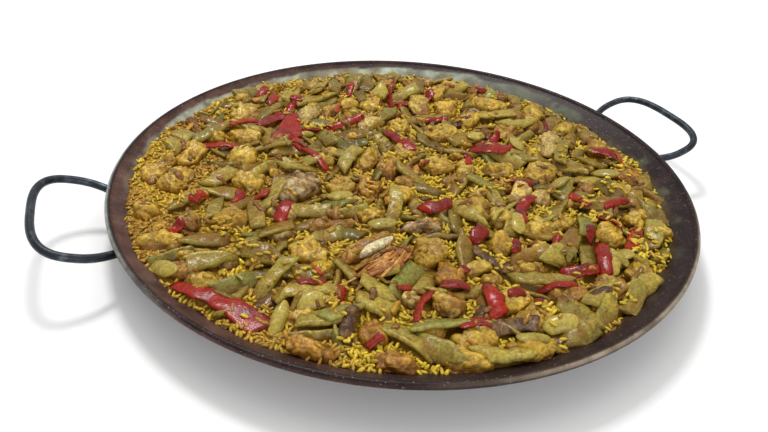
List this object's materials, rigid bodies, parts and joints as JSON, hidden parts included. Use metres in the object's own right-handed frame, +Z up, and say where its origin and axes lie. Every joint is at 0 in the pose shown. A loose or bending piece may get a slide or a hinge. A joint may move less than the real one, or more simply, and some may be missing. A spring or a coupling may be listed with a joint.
{
  "type": "paella",
  "caption": "Paella in its shallow round steel pan with rod loop handles: saffron rice under chicken, flat green beans, red pepper strips and lima beans.",
  "frame": {"origin": "centre of the flat underside of the pan's base, on the surface that the pan rests on", "axes": "+Z up, square to the base; +X through the middle of the right handle; +Y to the far side of the pan"},
  "size_m": [0.7264, 0.6, 0.0651],
  "materials": {
    "pan": "seasoned carbon steel sheet, browned by oil and heat, greyer where it is worn",
    "handle": "blued steel rod, slightly rough",
    "rice": "moist saffron rice grains with a thin film of oil",
    "chicken": "fried golden brown and glazed with stock",
    "pepper": "roast flesh, wet and glossy",
    "bean": "stewed pod, olive green, moist and speckled with sauce",
    "lima": "smooth stewed bean, pale and moist",
    "aubergine": "charred skin, dark brown and glossy"
  },
  "bodies": {
    "root": {"pan": "pan", "handle_right": "handle", "handle_left": "handle", "rice_bed": "rice", "chicken_01": "chicken", "chicken_02": "chicken", "chicken_03": "chicken", "chicken_04": "chicken", "chicken_05": "chicken", "chicken_06": "chicken", "chicken_07": "chicken", "chicken_08": "chicken", "chicken_09": "chicken", "chicken_10": "chicken", "chicken_11": "chicken", "chicken_12": "chicken", "chicken_13": "chicken", "chicken_14": "chicken", "chicken_15": "chicken", "chicken_16": "chicken", "chicken_17": "chicken", "chicken_18": "chicken", "chicken_19": "chicken", "chicken_20": "chicken", "pepper_01": "pepper", "pepper_02": "pepper", "pepper_03": "pepper", "pepper_04": "pepper", "pepper_05": "pepper", "pepper_06": "pepper", "pepper_07": "pepper", "pepper_08": "pepper", "pepper_09": "pepper", "pepper_10": "pepper", "pepper_11": "pepper", "pepper_12": "pepper", "pepper_13": "pepper", "pepper_14": "pepper", "pepper_15": "pepper", "pepper_16": "pepper", "pepper_17": "pepper", "pepper_18": "pepper", "pepper_19": "pepper", "pepper_20": "pepper", "bean_01": "bean", "bean_02": "bean", "bean_03": "bean", "bean_04": "bean", "bean_05": "bean", "bean_06": "bean", "bean_07": "bean", "bean_08": "bean", "bean_09": "bean", "bean_10": "bean", "bean_11": "bean", "bean_12": "bean", "lima_01": "lima", "lima_02": "lima", "aubergine_01": "aubergine", "aubergine_02": "aubergine"}
  },
  "joints": []
}
